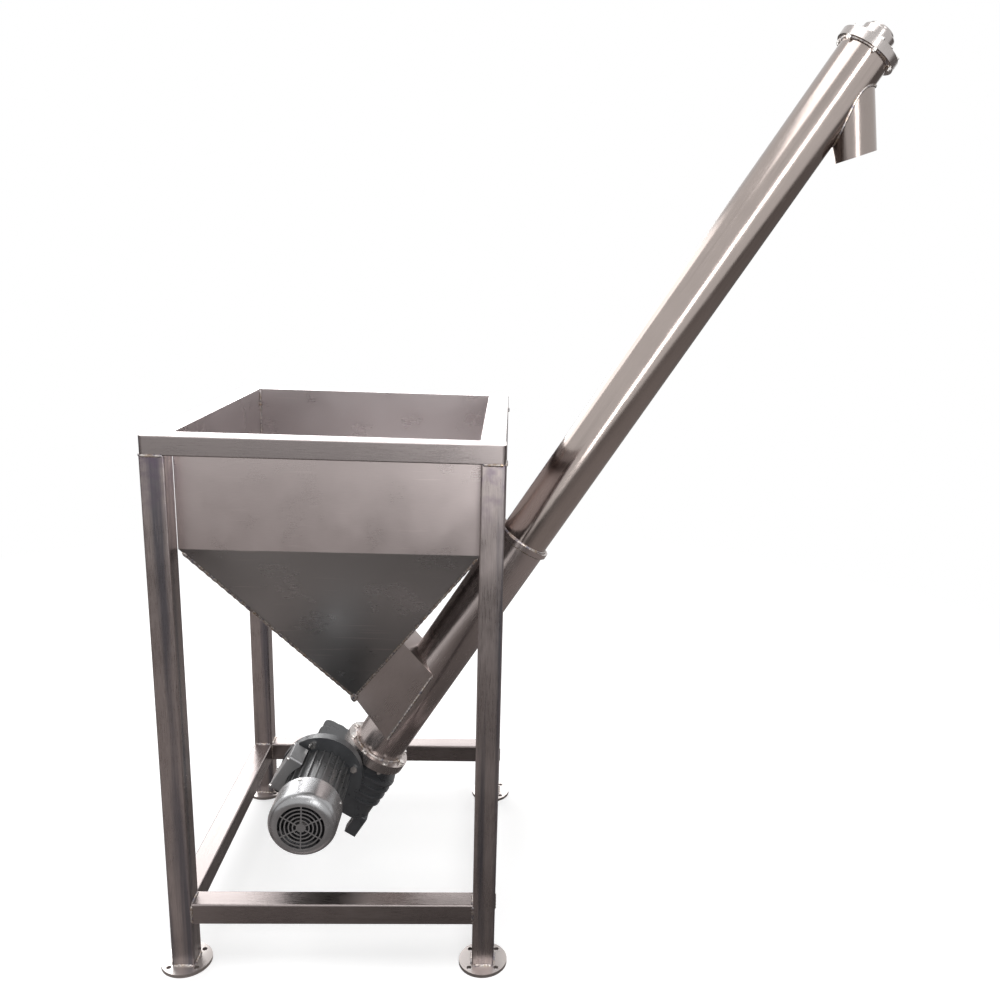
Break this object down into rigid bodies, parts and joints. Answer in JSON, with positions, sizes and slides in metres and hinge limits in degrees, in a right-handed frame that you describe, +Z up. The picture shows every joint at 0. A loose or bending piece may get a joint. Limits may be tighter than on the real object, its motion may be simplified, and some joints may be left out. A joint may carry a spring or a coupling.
{
  "type": "screw conveyor",
  "caption": "Inclined tubular screw conveyor that lifts bulk material from a square feed hopper on a legged frame to a plumb spout, driven by a worm gearmotor.",
  "frame": {"origin": "on the floor at the centre of the foot bolt holes", "axes": "+Z up, +X towards the discharge end, +Y away from the motor side"},
  "size_m": [1.5909, 0.84, 2.1148],
  "materials": {
    "bearing_steel": "ground bearing steel",
    "black_plastic": "black moulded plastic",
    "bronze": "machined bronze",
    "fan_cover": "silver grey paint on pressed steel",
    "fasteners": "bright stainless fasteners",
    "flange_steel": "turned stainless steel",
    "frame_steel": "satin brushed stainless steel",
    "gearbox_paint": "dark grey paint on a cast case",
    "motor_body": "silver grey paint",
    "screw_steel": "polished stainless steel",
    "seal_rubber": "black rubber",
    "shaft_steel": "ground steel",
    "sheet_steel": "satin brushed stainless sheet",
    "terminal_box": "grey paint on cast aluminium",
    "tube_steel": "polished stainless tube",
    "turned_steel": "turned stainless steel"
  },
  "bodies": {
    "frame": {"cable_gland": "black_plastic", "chute_end_lower": "sheet_steel", "chute_end_upper": "sheet_steel", "chute_side_front": "sheet_steel", "chute_side_rear": "sheet_steel", "discharge_spout": "tube_steel", "drive_plate": "flange_steel", "end_bearing_balls": "bearing_steel", "end_bearing_cap": "turned_steel", "end_bearing_housing": "turned_steel", "end_bearing_outer_ring": "bearing_steel", "end_flange_bolts": "fasteners", "end_housing_screws": "fasteners", "fan_cover": "fan_cover", "foot_plate_front_left": "frame_steel", "foot_plate_front_right": "frame_steel", "foot_plate_rear_left": "frame_steel", "foot_plate_rear_right": "frame_steel", "gearbox_housing": "gearbox_paint", "hopper_wall_front": "sheet_steel", "hopper_wall_left": "sheet_steel", "hopper_wall_rear": "sheet_steel", "hopper_wall_right": "sheet_steel", "joint_collar": "tube_steel", "leg_front_left": "frame_steel", "leg_front_right": "frame_steel", "leg_rear_left": "frame_steel", "leg_rear_right": "frame_steel", "lower_rail_front": "frame_steel", "lower_rail_left": "frame_steel", "lower_rail_rear": "frame_steel", "lower_rail_right": "frame_steel", "lower_tube": "tube_steel", "motor_end_shield": "motor_body", "motor_flange": "gearbox_paint", "motor_flange_bolts": "fasteners", "motor_housing": "motor_body", "output_cap": "black_plastic", "shaft_seal": "seal_rubber", "terminal_box": "terminal_box", "terminal_box_lid": "terminal_box", "top_cover": "flange_steel", "top_flange": "flange_steel", "top_flange_bolts": "fasteners", "top_rim_front": "frame_steel", "top_rim_left": "frame_steel", "top_rim_rear": "frame_steel", "top_rim_right": "frame_steel", "tube_end_flange": "flange_steel", "tube_gusset": "sheet_steel", "upper_tube": "tube_steel", "worm_end_cap": "gearbox_paint"},
    "screw": {"screw_shaft": "screw_steel", "feed_flight": "screw_steel", "screw_flight": "screw_steel", "worm_wheel": "bronze", "end_bearing_inner_ring": "bearing_steel"},
    "rotor": {"worm_shaft": "shaft_steel", "motor_rotor": "shaft_steel", "cooling_fan": "black_plastic"}
  },
  "joints": [
    {"name": "screw_spin", "type": "hinge", "parent": "frame", "child": "screw", "pos_m": [0, 0, 0.274], "axis": [0.5373, 0, 0.8434], "continuous": true},
    {"name": "rotor_spin", "type": "hinge", "parent": "frame", "child": "rotor", "pos_m": [-0.07736, 0, 0.32566], "axis": [0, -1, 0], "continuous": true}
  ],
  "couplings": [
    {"joint": "rotor_spin", "follows": "screw_spin", "ratio": 15}
  ]
}
